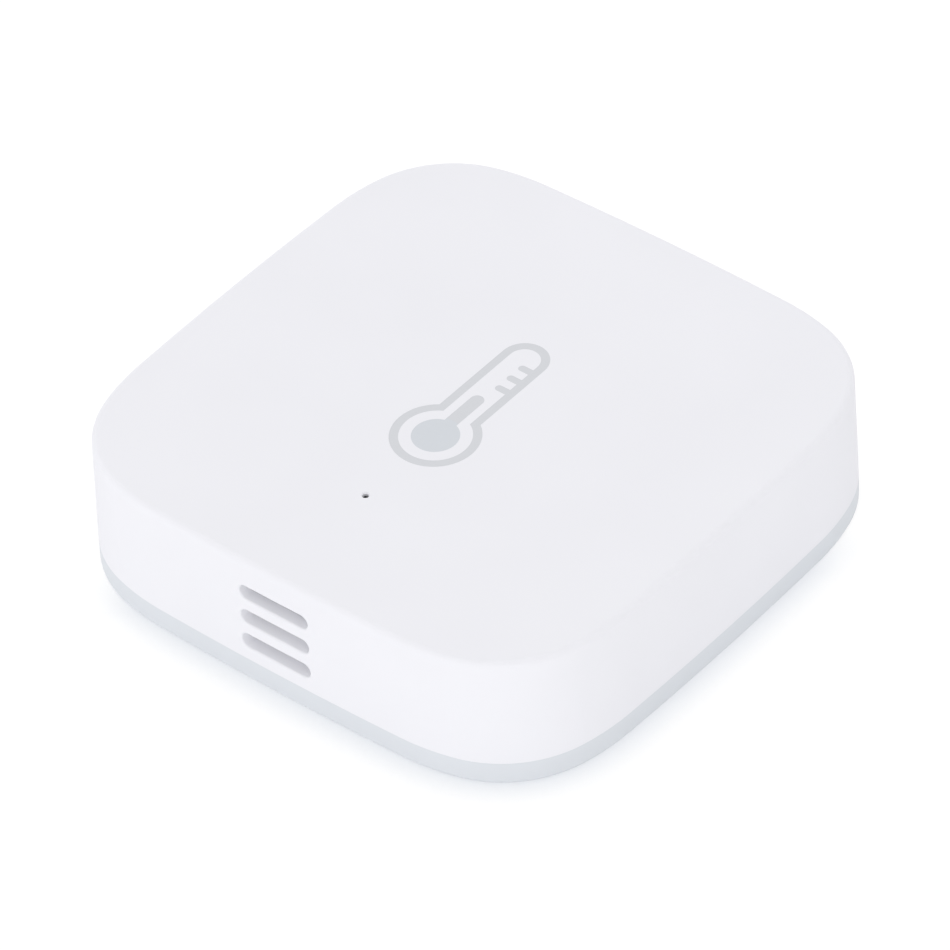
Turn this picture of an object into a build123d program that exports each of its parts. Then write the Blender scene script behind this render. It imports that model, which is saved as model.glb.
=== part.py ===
from build123d import *
from math import acos, asin, cos, degrees, radians, sin, sqrt, tan
import os

# Square wireless sensor for temperature and humidity, lying on its base.
# Millimetres. The origin is the middle of the underside, +Z is up, the air vents
# face -Y and the reset key faces +Y.

os.makedirs("parts", exist_ok=True)

# Outline of the case, seen from above: four slowly bowed sides, each running through
# a wider bend into a tighter corner
width = 36.0
side_bow_radius = 258.0
bend_radius = 15.0
corner_radius = 7.3
side_bow_share = 0.488

# Shell
wall = 1.3
roof = 1.3
wall_lean = 1.2
top_edge_radius = 0.4

# Base
seam_height = 1.6
base_floor = 1.2
bottom_edge_radius = 0.3
lip_gap = 0.1
lip_wall = 0.9
lip_height = 1.75
seat_gap = 0.1

# Snap ribs between the base's lip and the shell
snap_width = 3.4
snap_height = 0.5
snap_reach = 0.3
snap_below_lip_top = 0.45
snap_clearance = 0.08
snap_offset_share = 0.36

# Battery cover with three bayonet lugs
cover_recess = 0.1
cover_thickness = 1.1
cover_clearance = 0.08
cover_edge_chamfer = 0.15
cover_rim_wall = 0.7
lug_count = 3
lug_reach = 1.0
lug_thickness = 0.6
lug_clearance = 0.05
lug_spread = 24.0
notch_spread = 27.0
unlock_turn = 35.0
stop_spread = 3.0
stop_gap_angle = 0.6
coin_slot_length = 13.0
coin_slot_width = 1.7
coin_slot_depth = 0.6
mark_radius = 0.45
mark_depth = 0.2
mark_margin = 1.1

# Coin cell
cell_diameter = 20.0
cell_height = 3.2
cell_gap = 0.2
can_sheet = 0.25
can_corner_radius = 0.35
can_below_cap = 0.2
cap_sheet = 0.2
cap_setback = 1.3
cap_flange = 0.6
gasket_wall = 0.3
gasket_skirt = 0.95
cathode_height = 1.6
separator_height = 0.1

# Holder between the base and the board
pocket_gap = 0.25
cell_stop_gap = 0.15
cell_stop_height = 0.45
cell_stop_reach = 0.7
cavity_gap = 0.2
cavity_head_room = 0.15
frame_skin = 1.0
frame_top_plate = 1.0
frame_rib = 0.8
pin_radius = 0.6
pin_clearance = 0.08
pin_proud = 0.5
pin_x_share = 0.715
pin_y_share = 0.47

# Circuit board
board_thickness = 0.8
board_gap = 0.4
head_room = 1.9
post_radius = 0.9
post_share = 0.645
isolation_slot_width = 0.8
isolation_slot_length = 4.0
isolation_slot_offset = 3.2

# Vents and the chamber behind them
vent_count = 3
vent_length = 5.0
vent_height = 1.0
vent_pitch = 1.8
vent_middle_share = 0.432
vent_flare = 13.0
vent_flare_depth = 0.7
vent_edge_radius = 0.12
vent_margin = 0.9
chamber_half_width = 4.2
chamber_to_guide = 1.5
chamber_rib = 0.7
chamber_clearance = 0.05
humidity_sensor_size = 2.5
humidity_sensor_height = 0.9
humidity_window_radius = 0.55
humidity_window_depth = 0.35

# Indicator pinhole, its light guide and its lamp
pinhole_radius = 0.19
pinhole_chamfer = 0.08
pinhole_share = 0.533
guide_clearance = 0.03
guide_body_radius = 0.9
guide_recess = 0.25
guide_above_led = 0.3
led_length = 1.6
led_depth = 0.8
led_base_height = 0.25
led_lens_length = 1.1
led_lens_height = 0.35

# Thermometer figure on the roof
print_depth = 0.05
print_stroke = 0.53
bulb_radius = 2.65
bulb_from_middle = 3.4
bulb_core_radius = 1.4
tube_half_width = 1.5
tube_top = 6.07
stem_half_width = 0.43
stem_top = 0.73
tick_thickness = 0.48
tick_pitch = 1.05
tick_first = 1.87
tick_count = 3
tick_left = 0.12

# Reset key and the side switch behind it
key_width = 4.2
key_height = 1.8
key_clearance = 0.08
key_recess = 0.05
key_edge_radius = 0.2
key_travel = 0.25
flange_margin = 0.6
flange_thickness = 0.6
flange_gap = 0.05
switch_width = 4.0
switch_depth = 1.8
switch_height = 1.5
switch_sheet = 0.1
switch_well_width = 3.0
switch_well_height = 1.0
switch_well_depth = 1.3
dome_flat = 0.1
dome_sheet = 0.08
dome_foot = 0.15
dome_height = 0.8
plunger_width = 1.2
plunger_height = 0.8
plunger_head_width = 2.2
plunger_left = 0.35
plunger_clearance = 0.08
plunger_gap = 0.02
tab_width = 1.7
tab_depth = 1.2
notch_margin = 1.0
notch_gap = 0.15

# Spring contacts for the cell
contact_sheet = 0.15
contact_width = 3.0
contact_pad = 2.0
leaf_reach = 7.6
leaf_touch = 1.6
leaf_tail = 1.4
leaf_tail_rise = 0.3
clip_drop = 1.9
clip_step = 0.9
contact_clearance = 0.7

# Parts on the board
controller_size = 6.0
controller_height = 0.9
corner_dot_radius = 0.25
corner_dot_depth = 0.05
memory_length = 4.9
memory_width = 3.9
memory_height = 1.4
memory_stand_off = 0.1
leg_width = 0.4
leg_length = 0.9
leg_sheet = 0.2
leg_pitch = 1.27
legs_per_side = 4
crystal_length = 3.2
crystal_width = 2.5
crystal_height = 0.7
crystal_corner_radius = 0.4
storage_length = 3.5
storage_width = 2.8
storage_height = 1.5
chip_length = 1.0
chip_width = 0.5
capacitor_height = 0.5
resistor_height = 0.35
antenna_copper = 0.05
antenna_trace = 0.4
antenna_pitch = 1.1
antenna_depth = 2.2
antenna_turns = 10

# Places on the board, as shares of the half width
controller_shares = (-0.33, 0.25)
memory_shares = (0.31, 0.28)
crystal_shares = (-0.33, -0.11)
storage_shares = (0.33, -0.17)
antenna_shares = (-0.82, -0.08)
capacitor_shares = (
    (-0.08, 0.36),
    (-0.08, 0.26),
    (-0.08, 0.16),
    (-0.50, -0.11),
    (-0.16, -0.11),
    (0.33, -0.36),
)
resistor_shares = (
    (0.08, 0.55),
    (-0.08, 0.55),
    (0.12, -0.11),
    (0.12, -0.24),
    (-0.16, -0.33),
    (0.55, 0.05),
)

# One length by which every cutting shape runs past what it cuts
overrun = 1.0

# Heights worked out from the stack: cover, cell, holder, board, parts, roof
half_width = width / 2
cell_radius = cell_diameter / 2
cell_bottom = cover_recess + cover_thickness
cell_top = cell_bottom + cell_height
lug_bottom = base_floor + lug_clearance
rim_top = lug_bottom + lug_thickness
cavity_top = rim_top + cavity_head_room
cell_stop_bottom = cell_top + cell_stop_gap
board_bottom = cell_stop_bottom + cell_stop_height
board_top = board_bottom + board_thickness
board_middle = (board_bottom + board_top) / 2
roof_inside = board_top + head_room
height = roof_inside + roof
lip_top = seam_height + lip_height

# Radii worked out from the cell outwards
rim_inner_radius = cell_radius + cell_gap
cover_radius = rim_inner_radius + cover_rim_wall
opening_radius = cover_radius + cover_clearance
lug_tip_radius = cover_radius + lug_reach
cavity_radius = lug_tip_radius + cavity_gap
pocket_radius = cell_radius + pocket_gap
cell_stop_radius = cell_radius - cell_stop_reach
cap_radius = cell_radius - cap_setback

# Insets of the fitting outlines, from the wall inwards
lip_outer_inset = wall + lip_gap
lip_inner_inset = lip_outer_inset + lip_wall
frame_inset = lip_inner_inset + seat_gap
board_inset = wall + board_gap
inner_wall_at = half_width - wall
board_edge = half_width - board_inset

# Places along the middle line, from the pinhole out to the vents
pinhole_from_middle = pinhole_share * half_width
chamber_inner_at = pinhole_from_middle + guide_body_radius + chamber_to_guide
chamber_depth = inner_wall_at - chamber_inner_at
humidity_sensor_at = -(chamber_inner_at + chamber_rib / 2 + board_edge) / 2

# Key and switch, from the wall inwards
flange_outer_at = inner_wall_at - flange_gap
flange_inner_at = flange_outer_at - flange_thickness
switch_front = flange_inner_at - key_travel - plunger_left
switch_body_front = switch_front - switch_sheet
switch_back = switch_body_front - switch_depth
well_bottom = switch_body_front - switch_well_depth
crown_at = well_bottom + key_travel + dome_flat
key_wall_at = half_width - tan(radians(wall_lean)) * (board_middle - seam_height)
key_face = key_wall_at - key_recess
flange_width = key_width + 2 * flange_margin
flange_height = key_height + 2 * flange_margin
notch_half_width = switch_width / 2 + notch_margin
notch_bottom = switch_back - notch_gap


def outline(inset):
    """The case's outline as a flat sketch, drawn in by inset on every side."""
    bow_angle = asin(side_bow_share * half_width / side_bow_radius)
    bow_x = half_width - side_bow_radius
    bend_x = bow_x + (side_bow_radius - bend_radius) * cos(bow_angle)
    bend_y = (side_bow_radius - bend_radius) * sin(bow_angle)
    # The corner's centre lies on the diagonal, which fixes where the bend ends
    lean = (bend_y - bend_x) / (bend_radius - corner_radius)
    bend_angle = acos(lean / sqrt(2)) - radians(45)
    corner_at = bend_x + (bend_radius - corner_radius) * cos(bend_angle)
    bow_turn = degrees(bow_angle)
    bend_turn = degrees(bend_angle)
    arcs = (
        ((bow_x, 0), side_bow_radius, -bow_turn, bow_turn),
        ((bend_x, bend_y), bend_radius, bow_turn, bend_turn),
        ((corner_at, corner_at), corner_radius, bend_turn, 90 - bend_turn),
        ((bend_y, bend_x), bend_radius, 90 - bend_turn, 90 - bow_turn),
    )
    with BuildSketch() as shape:
        with BuildLine():
            for quarter in range(4):
                for centre, radius, first, last in arcs:
                    place = Vector(*centre).rotate(Axis.Z, 90 * quarter)
                    CenterArc(place, radius - inset, first + 90 * quarter, last - first)
        make_face()
    return shape.sketch


def ring_sector(inner, outer, middle, spread):
    """A stretch of a flat ring: its two radii, and its middle and spread in degrees."""
    with BuildSketch() as shape:
        with BuildLine():
            far = CenterArc((0, 0), outer, middle - spread / 2, spread)
            near = CenterArc((0, 0), inner, middle - spread / 2, spread)
            Line(far @ 0, near @ 0)
            Line(far @ 1, near @ 1)
        make_face()
    return shape.sketch


def thermometer():
    """The thermometer figure, flat, with its bulb towards -Y."""
    with BuildSketch() as figure:
        # Outer line: a ring round the bulb that runs into a round-topped tube
        tube_cap = tube_top - tube_half_width
        for grow, mode in ((0, Mode.ADD), (print_stroke, Mode.SUBTRACT)):
            half = tube_half_width - grow
            with Locations((0, -bulb_from_middle)):
                Circle(bulb_radius - grow, mode=mode)
            with Locations((0, -bulb_from_middle)):
                Rectangle(
                    2 * half,
                    tube_cap + bulb_from_middle,
                    align=(Align.CENTER, Align.MIN),
                    mode=mode,
                )
            with Locations((0, tube_cap)):
                Circle(half, mode=mode)
        # Filled bulb with its stem
        stem_cap = stem_top - stem_half_width
        with Locations((0, -bulb_from_middle)):
            Circle(bulb_core_radius)
            Rectangle(
                2 * stem_half_width,
                stem_cap + bulb_from_middle,
                align=(Align.CENTER, Align.MIN),
            )
        with Locations((0, stem_cap)):
            Circle(stem_half_width)
        # Scale marks from the tube's right side, round at their free end
        tick_end = tube_half_width - print_stroke / 2
        for step in range(tick_count):
            level = tick_first + step * tick_pitch
            with Locations((tick_left + tick_thickness / 2, level)):
                Circle(tick_thickness / 2)
                Rectangle(
                    tick_end - tick_left - tick_thickness / 2,
                    tick_thickness,
                    align=(Align.MIN, Align.CENTER),
                )
    return figure.sketch


def side_slot(slot_width, slot_height):
    """A flat upright slot with round ends, longer along X than it is high."""
    with BuildSketch() as shape:
        SlotOverall(slot_width, slot_height)
    return shape.sketch


def save(piece, name):
    """Name a finished piece and write it."""
    piece.part.label = name
    export_step(piece.part, "parts/" + name + ".step")


# Snap ribs: two on each side, wedge-shaped so that the shell rides over them
snap_offset = snap_offset_share * half_width
snap_middle = lip_top - snap_below_lip_top - snap_height / 2
snap_root_at = half_width - lip_outer_inset - lip_wall / 2
snap_tip_at = half_width - wall + snap_reach
snap_places = []
for quarter in range(4):
    for side in (-1, 1):
        turned = Location((0, 0, 0), (0, 0, 90 * quarter))
        snap_places.append(turned * Location((side * snap_offset, 0, snap_middle)))

with BuildPart() as snap_rib:
    with BuildSketch(Plane.YZ):
        with BuildLine():
            Polyline(
                (snap_root_at, -snap_height / 2),
                (snap_tip_at, -snap_height / 2),
                (snap_tip_at, 0),
                (half_width - lip_outer_inset, snap_height / 2),
                (snap_root_at, snap_height / 2),
                close=True,
            )
        make_face()
    extrude(amount=snap_width / 2, both=True)

# Top shell
vent_middle = seam_height + vent_middle_share * (height - seam_height)
vent_reach = vent_count * vent_pitch / 2
vent_run_in = overrun + tan(radians(wall_lean)) * (vent_middle - seam_height)
vent_spread = 2 * vent_run_in * tan(radians(vent_flare))
vent_narrowing = 2 * vent_flare_depth * tan(radians(vent_flare))
key_level = board_middle
post_at = post_share * half_width


def is_vent_rim(edge):
    """Whether an edge runs round a vent on the outside of the wall."""
    middle = edge.center()
    outside = edge.bounding_box().max.Y < -inner_wall_at - wall / 2
    beside = abs(middle.X) < vent_length
    return outside and beside and abs(middle.Z - vent_middle) < vent_reach


with BuildPart() as top_shell:
    with BuildSketch(Plane.XY.offset(seam_height)):
        add(outline(0))
    extrude(amount=height - seam_height, taper=wall_lean)
    fillet(top_shell.edges().group_by(Axis.Z)[-1], top_edge_radius)
    with BuildSketch(Plane.XY.offset(seam_height)):
        add(outline(wall))
    extrude(amount=roof_inside - seam_height, mode=Mode.SUBTRACT)
    # Posts that hold the board down on its holder
    with BuildSketch(Plane.XY.offset(board_top)):
        with GridLocations(2 * post_at, 2 * post_at, 2, 2):
            Circle(post_radius)
    extrude(amount=head_room)
    # Thin walls that close the vent chamber off from the rest of the inside
    with BuildSketch(Plane.XY.offset(board_top + chamber_clearance)):
        with Locations((0, -inner_wall_at - wall / 2)):
            Rectangle(
                2 * chamber_half_width + chamber_rib,
                chamber_depth + wall / 2 + chamber_rib,
                align=(Align.CENTER, Align.MIN),
            )
            Rectangle(
                2 * chamber_half_width - chamber_rib,
                chamber_depth + wall / 2,
                align=(Align.CENTER, Align.MIN),
                mode=Mode.SUBTRACT,
            )
    extrude(amount=head_room - chamber_clearance)
    # Vents: slots that narrow inwards at first, so that light and air reach into them
    with BuildSketch(Plane.XZ.offset(half_width + overrun)):
        with Locations((0, vent_middle)):
            with GridLocations(0, vent_pitch, 1, vent_count):
                add(side_slot(vent_length + vent_spread, vent_height + vent_spread))
    extrude(amount=-(vent_run_in + vent_flare_depth), taper=vent_flare, mode=Mode.SUBTRACT)
    with BuildSketch(Plane.XZ.offset(half_width + overrun)):
        with Locations((0, vent_middle)):
            with GridLocations(0, vent_pitch, 1, vent_count):
                add(side_slot(vent_length - vent_narrowing, vent_height - vent_narrowing))
    extrude(amount=-(wall + 2 * overrun), mode=Mode.SUBTRACT)
    fillet(top_shell.edges().filter_by(is_vent_rim), vent_edge_radius)
    # Opening for the reset key
    with BuildSketch(Plane.XZ.offset(-half_width - overrun)):
        with Locations((0, key_level)):
            add(side_slot(key_width + 2 * key_clearance, key_height + 2 * key_clearance))
    extrude(amount=wall + 2 * overrun, mode=Mode.SUBTRACT)
    # Pockets for the snap ribs
    with Locations(*snap_places):
        with Locations((0, inner_wall_at - overrun, 0)):
            Box(
                snap_width + 2 * snap_clearance,
                overrun + snap_reach + snap_clearance,
                snap_height + 2 * snap_clearance,
                align=(Align.CENTER, Align.MIN, Align.CENTER),
                mode=Mode.SUBTRACT,
            )
    # Pinhole with a broken edge
    with Locations((0, -pinhole_from_middle, height)):
        CounterSinkHole(pinhole_radius, pinhole_radius + pinhole_chamfer, roof + overrun)
    # Bed of the printed figure
    with BuildSketch(Plane.XY.offset(height)):
        add(thermometer())
    extrude(amount=-print_depth, mode=Mode.SUBTRACT)
save(top_shell, "top_shell")

# Printed figure, flush with the roof
with BuildPart() as thermometer_print:
    with BuildSketch(Plane.XY.offset(height)):
        add(thermometer())
    extrude(amount=-print_depth)
save(thermometer_print, "thermometer_print")

# Base: the band under the shell, its floor, its lip and the round opening
mark_at = opening_radius + mark_margin
with BuildPart() as base:
    with BuildSketch():
        add(outline(0))
    extrude(amount=seam_height)
    fillet(base.edges().group_by(Axis.Z)[0], bottom_edge_radius)
    with BuildSketch(Plane.XY.offset(base_floor)):
        add(outline(lip_inner_inset))
    extrude(amount=seam_height - base_floor, mode=Mode.SUBTRACT)
    with BuildSketch(Plane.XY.offset(seam_height)):
        add(outline(lip_outer_inset))
        add(outline(lip_inner_inset), mode=Mode.SUBTRACT)
        # Gap in the lip, so that air reaches the lowest vent
        with Locations((0, -half_width)):
            Rectangle(
                vent_length + 2 * vent_margin,
                lip_inner_inset + overrun,
                align=(Align.CENTER, Align.MIN),
                mode=Mode.SUBTRACT,
            )
    extrude(amount=lip_height)
    with Locations(*snap_places):
        add(snap_rib.part)
    # Stops beside each lug's path, where the turn starts and where it ends
    with BuildSketch(Plane.XY.offset(base_floor)):
        for lug in range(lug_count):
            lug_at = 360 * lug / lug_count
            stop_from_lug = lug_spread / 2 + stop_gap_angle + stop_spread / 2
            for stop_at in (lug_at + stop_from_lug, lug_at - unlock_turn - stop_from_lug):
                add(ring_sector(opening_radius, lug_tip_radius, stop_at, stop_spread))
    extrude(amount=rim_top - base_floor)
    # Opening with a notch for each lug
    with BuildSketch():
        Circle(opening_radius)
        for lug in range(lug_count):
            notch_at = 360 * lug / lug_count - unlock_turn
            notch_tip = lug_tip_radius + cover_clearance
            add(ring_sector(cell_radius, notch_tip, notch_at, notch_spread))
    extrude(amount=base_floor, mode=Mode.SUBTRACT)
    # Marks in the underside: a dot for locked and a ring for open
    with BuildSketch():
        with Locations((mark_at + mark_radius, 0)):
            Circle(mark_radius)
        with Locations(Location((0, 0, 0), (0, 0, -unlock_turn))):
            with Locations((mark_at + mark_radius, 0)):
                Circle(mark_radius)
                Circle(mark_radius / 2, mode=Mode.SUBTRACT)
    extrude(amount=mark_depth, mode=Mode.SUBTRACT)
save(base, "base")

# Battery cover: a disc with a coin slot, a rim round the cell and bayonet lugs
with BuildPart() as battery_cover:
    with BuildSketch(Plane.XY.offset(cover_recess)):
        Circle(cover_radius)
    extrude(amount=cover_thickness)
    chamfer(battery_cover.edges().group_by(Axis.Z)[0], cover_edge_chamfer)
    with BuildSketch(Plane.XY.offset(cell_bottom)):
        Circle(cover_radius)
        Circle(rim_inner_radius, mode=Mode.SUBTRACT)
    extrude(amount=rim_top - cell_bottom)
    with BuildSketch(Plane.XY.offset(lug_bottom)):
        for lug in range(lug_count):
            lug_at = 360 * lug / lug_count
            add(ring_sector(rim_inner_radius, lug_tip_radius, lug_at, lug_spread))
    extrude(amount=lug_thickness)
    with BuildSketch(Plane.XY.offset(cover_recess)):
        SlotOverall(coin_slot_length, coin_slot_width)
    extrude(amount=coin_slot_depth, mode=Mode.SUBTRACT)
    # Pointer that meets the dot when locked and the ring when open
    with BuildSketch(Plane.XY.offset(cover_recess)):
        with Locations((cover_radius - mark_margin - mark_radius, 0)):
            RegularPolygon(mark_radius, 3)
    extrude(amount=mark_depth, mode=Mode.SUBTRACT)
save(battery_cover, "battery_cover")

# Coin cell, positive can downwards
can_top = cell_top - can_below_cap
flange_top = can_top - can_sheet - gasket_wall
cap_flange_radius = cap_radius + cap_flange
can_lip_radius = cap_radius + gasket_wall
can_inner_radius = cell_radius - can_sheet
can_floor = cell_bottom + can_sheet
cap_inside = cell_top - cap_sheet
gasket_bottom = flange_top - gasket_skirt

with BuildPart() as cell_can:
    with BuildSketch(Plane.XZ):
        with BuildLine():
            Polyline(
                (0, cell_bottom),
                (cell_radius, cell_bottom),
                (cell_radius, can_top),
                (can_lip_radius, can_top),
                (can_lip_radius, can_top - can_sheet),
                (can_inner_radius, can_top - can_sheet),
                (can_inner_radius, can_floor),
                (0, can_floor),
                close=True,
            )
        make_face()
    revolve(axis=Axis.Z)
    can_rings = cell_can.edges().filter_by(GeomType.CIRCLE)
    fillet(can_rings.group_by(SortBy.RADIUS)[-1], can_corner_radius)
save(cell_can, "cell_can")

with BuildPart() as cell_cap:
    with BuildSketch(Plane.XZ):
        with BuildLine():
            Polyline(
                (0, cell_top),
                (cap_radius, cell_top),
                (cap_radius, flange_top),
                (cap_flange_radius, flange_top),
                (cap_flange_radius, flange_top - cap_sheet),
                (cap_radius - cap_sheet, flange_top - cap_sheet),
                (cap_radius - cap_sheet, cap_inside),
                (0, cap_inside),
                close=True,
            )
        make_face()
    revolve(axis=Axis.Z)
save(cell_cap, "cell_cap")

with BuildPart() as cell_gasket:
    with BuildSketch(Plane.XZ):
        with BuildLine():
            Polyline(
                (can_inner_radius, gasket_bottom),
                (can_inner_radius, can_top - can_sheet),
                (can_lip_radius, can_top - can_sheet),
                (can_lip_radius, can_top),
                (cap_radius, can_top),
                (cap_radius, flange_top),
                (cap_flange_radius, flange_top),
                (cap_flange_radius, gasket_bottom),
                close=True,
            )
        make_face()
    revolve(axis=Axis.Z)
save(cell_gasket, "cell_gasket")

with BuildPart() as cell_cathode:
    with BuildSketch(Plane.XY.offset(can_floor)):
        Circle(cap_radius)
    extrude(amount=cathode_height)
save(cell_cathode, "cell_cathode")

separator_bottom = can_floor + cathode_height
with BuildPart() as cell_separator:
    with BuildSketch(Plane.XY.offset(separator_bottom)):
        Circle(cap_radius)
    extrude(amount=separator_height)
save(cell_separator, "cell_separator")

anode_bottom = separator_bottom + separator_height
with BuildPart() as cell_anode:
    with BuildSketch(Plane.XY.offset(anode_bottom)):
        Circle(cap_radius - 2 * cap_sheet)
    extrude(amount=cap_inside - anode_bottom)
save(cell_anode, "cell_anode")

# Holder: centres the cell, carries the board and stands on the base's floor
pin_x = pin_x_share * half_width
pin_y = pin_y_share * half_width
clip_far = cell_radius + clip_step + contact_sheet
relief_width = contact_width + 2 * contact_clearance
with BuildPart() as inner_frame:
    with BuildSketch(Plane.XY.offset(base_floor)):
        add(outline(frame_inset))
    extrude(amount=board_bottom - base_floor)
    # Hollow between the skins, open downwards, with ribs across it
    with BuildSketch(Plane.XY.offset(base_floor)):
        add(outline(frame_inset + frame_skin))
        Circle(cavity_radius + frame_skin, mode=Mode.SUBTRACT)
        for eighth in range(4):
            Rectangle(width, frame_rib, rotation=45 * eighth, mode=Mode.SUBTRACT)
    extrude(amount=board_bottom - frame_top_plate - base_floor, mode=Mode.SUBTRACT)
    # Steps of the bore: the lugs' path, the cell's pocket and the stop over its edge
    with BuildSketch(Plane.XY.offset(base_floor)):
        Circle(cavity_radius)
    extrude(amount=cavity_top - base_floor, mode=Mode.SUBTRACT)
    with BuildSketch(Plane.XY.offset(base_floor)):
        Circle(pocket_radius)
    extrude(amount=cell_stop_bottom - base_floor, mode=Mode.SUBTRACT)
    with BuildSketch(Plane.XY.offset(base_floor)):
        Circle(cell_stop_radius)
    extrude(amount=board_bottom - base_floor, mode=Mode.SUBTRACT)
    # Room for the positive contact beside the cell and under the board
    with BuildSketch(Plane.XY.offset(board_bottom)):
        with Locations((cell_stop_radius - overrun, 0)):
            Rectangle(
                clip_far + contact_clearance - cell_stop_radius + overrun,
                relief_width,
                align=(Align.MIN, Align.CENTER),
            )
    extrude(amount=-(board_bottom - cavity_top), mode=Mode.SUBTRACT)
    with BuildSketch(Plane.XY.offset(board_bottom)):
        with Locations((cell_stop_radius, 0)):
            Rectangle(
                clip_far + contact_pad + contact_clearance - cell_stop_radius,
                relief_width,
                align=(Align.MIN, Align.CENTER),
            )
    extrude(amount=-2 * contact_sheet, mode=Mode.SUBTRACT)
    # Room for the switch
    with BuildSketch(Plane.XY.offset(board_bottom)):
        with Locations((0, notch_bottom)):
            Rectangle(
                2 * notch_half_width,
                width,
                align=(Align.CENTER, Align.MIN),
            )
    switch_room = (switch_height - board_thickness) / 2 + notch_gap
    extrude(amount=-switch_room, mode=Mode.SUBTRACT)
    # Pins that place the board
    with BuildSketch(Plane.XY.offset(board_bottom)):
        with Locations((-pin_x, pin_y), (pin_x, -pin_y)):
            Circle(pin_radius)
    extrude(amount=board_thickness + pin_proud)
save(inner_frame, "inner_frame")

# Circuit board
with BuildPart() as circuit_board:
    with BuildSketch(Plane.XY.offset(board_bottom)):
        add(outline(board_inset))
        with Locations((-pin_x, pin_y), (pin_x, -pin_y)):
            Circle(pin_radius + pin_clearance, mode=Mode.SUBTRACT)
        # Notch for the side switch and the key's flange
        with Locations((0, notch_bottom)):
            Rectangle(
                2 * notch_half_width,
                width,
                align=(Align.CENTER, Align.MIN),
                mode=Mode.SUBTRACT,
            )
        # Slots that keep the board's warmth from the humidity sensor
        for side in (-1, 1):
            with Locations((side * isolation_slot_offset, -board_edge - overrun)):
                Rectangle(
                    isolation_slot_width,
                    isolation_slot_length + overrun,
                    align=(Align.CENTER, Align.MIN),
                    mode=Mode.SUBTRACT,
                )
    extrude(amount=board_thickness)
save(circuit_board, "circuit_board")

# Humidity sensor with its open window, behind the vents
with BuildPart() as humidity_sensor:
    with BuildSketch(Plane.XY.offset(board_top)):
        with Locations((0, humidity_sensor_at)):
            Rectangle(humidity_sensor_size, humidity_sensor_size)
    extrude(amount=humidity_sensor_height)
    with BuildSketch(Plane.XY.offset(board_top + humidity_sensor_height)):
        with Locations((0, humidity_sensor_at)):
            Circle(humidity_window_radius)
    extrude(amount=-humidity_window_depth, mode=Mode.SUBTRACT)
save(humidity_sensor, "humidity_sensor")

# Indicator lamp under the pinhole, and the light guide between them
led_top = board_top + led_base_height + led_lens_height
with BuildPart() as indicator_led:
    with BuildSketch(Plane.XY.offset(board_top)):
        with Locations((0, -pinhole_from_middle)):
            Rectangle(led_length, led_depth)
    extrude(amount=led_base_height)
    with BuildSketch(Plane.XY.offset(board_top + led_base_height)):
        with Locations((0, -pinhole_from_middle)):
            Rectangle(led_lens_length, led_depth)
    extrude(amount=led_lens_height)
save(indicator_led, "indicator_led")

guide_bottom = led_top + guide_above_led
with BuildPart() as light_guide:
    with BuildSketch(Plane.XY.offset(guide_bottom)):
        with Locations((0, -pinhole_from_middle)):
            Circle(guide_body_radius)
    extrude(amount=roof_inside - guide_bottom)
    with BuildSketch(Plane.XY.offset(roof_inside)):
        with Locations((0, -pinhole_from_middle)):
            Circle(pinhole_radius - guide_clearance)
    extrude(amount=roof - guide_recess)
save(light_guide, "light_guide")

# Reset key: an oval head in the shell's opening and a flange behind the wall
with BuildPart() as reset_button:
    with BuildSketch(Plane.XZ.offset(-flange_outer_at)):
        with Locations((0, key_level)):
            add(side_slot(key_width, key_height))
    extrude(amount=-(key_face - flange_outer_at))
    fillet(reset_button.edges().group_by(Axis.Y)[-1], key_edge_radius)
    with BuildSketch(Plane.XZ.offset(-flange_outer_at)):
        with Locations((0, key_level)):
            add(side_slot(flange_width, flange_height))
    extrude(amount=flange_thickness)
save(reset_button, "reset_button")

# Side switch: body with a well, dome spring, plunger and sheet metal front
dome_half_width = switch_well_width / 2 - dome_foot
with BuildPart() as switch_body:
    with BuildSketch(Plane.XZ.offset(-switch_body_front)):
        with Locations((0, board_middle)):
            Rectangle(switch_width, switch_height)
    extrude(amount=switch_depth)
    with BuildSketch(Plane.XZ.offset(-switch_body_front)):
        with Locations((0, board_middle)):
            Rectangle(switch_well_width, switch_well_height)
    extrude(amount=switch_well_depth, mode=Mode.SUBTRACT)
save(switch_body, "switch_body")

with BuildPart() as switch_dome:
    with BuildSketch(Plane.XY.offset(board_middle)):
        with BuildLine():
            ThreePointArc(
                (-dome_half_width, well_bottom),
                (0, crown_at - plunger_gap),
                (dome_half_width, well_bottom),
            )
            ThreePointArc(
                (dome_foot - dome_half_width, well_bottom),
                (0, crown_at - plunger_gap - dome_sheet),
                (dome_half_width - dome_foot, well_bottom),
            )
            Line((-dome_half_width, well_bottom), (dome_foot - dome_half_width, well_bottom))
            Line((dome_half_width - dome_foot, well_bottom), (dome_half_width, well_bottom))
        make_face()
    extrude(amount=dome_height / 2, both=True)
save(switch_dome, "switch_dome")

with BuildPart() as switch_plunger:
    with BuildSketch(Plane.XZ.offset(-crown_at)):
        with Locations((0, board_middle)):
            Rectangle(plunger_head_width, plunger_height)
    extrude(amount=-(switch_body_front - plunger_gap - crown_at))
    with BuildSketch(Plane.XZ.offset(-crown_at)):
        with Locations((0, board_middle)):
            Rectangle(plunger_width, plunger_height)
    extrude(amount=-(flange_inner_at - crown_at))
save(switch_plunger, "switch_plunger")

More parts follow.
